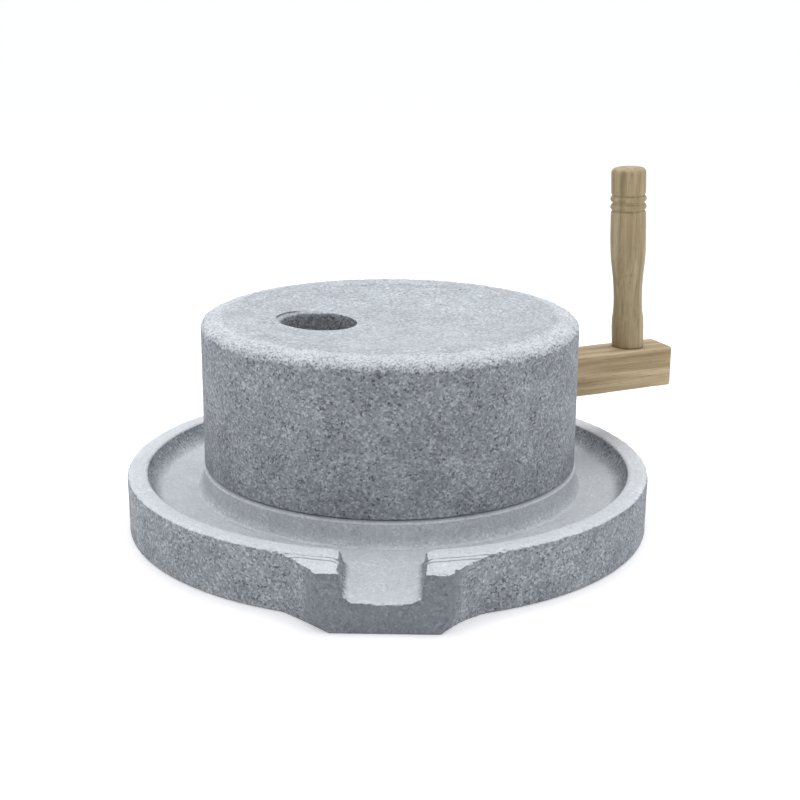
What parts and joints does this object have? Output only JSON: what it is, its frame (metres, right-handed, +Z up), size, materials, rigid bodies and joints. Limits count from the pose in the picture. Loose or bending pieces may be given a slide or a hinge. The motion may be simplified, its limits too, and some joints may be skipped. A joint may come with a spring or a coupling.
{
  "type": "rotary quern",
  "caption": "Stone hand mill: a runner stone with an off-centre feed eye and a wooden arm and grip turns on a bed stone carved in one with a catching tray and pouring spout.",
  "frame": {"origin": "on the turning axis, in the plane of the bed stone's underside", "axes": "+Z up along the turning axis; -Y towards the pouring spout; +X to the right of someone facing the spout"},
  "size_m": [0.4522, 0.4407, 0.2741],
  "materials": {
    "granite_bed": "bush-hammered grey granite, dusty and light on the faces that look up",
    "granite_runner": "fine-dressed grey granite with dark specks",
    "arm_wood": "planed bare hardwood, straight grained",
    "grip_wood": "turned and sanded bare hardwood"
  },
  "bodies": {
    "bed": {"bed_stone": "granite_bed"},
    "runner": {"runner_stone": "granite_runner", "handle_arm": "arm_wood", "handle_grip": "grip_wood"}
  },
  "joints": [
    {"name": "runner_turn", "type": "hinge", "parent": "bed", "child": "runner", "pos_m": [0, 0, 0.05], "axis": [0, 0, 1], "continuous": true}
  ]
}
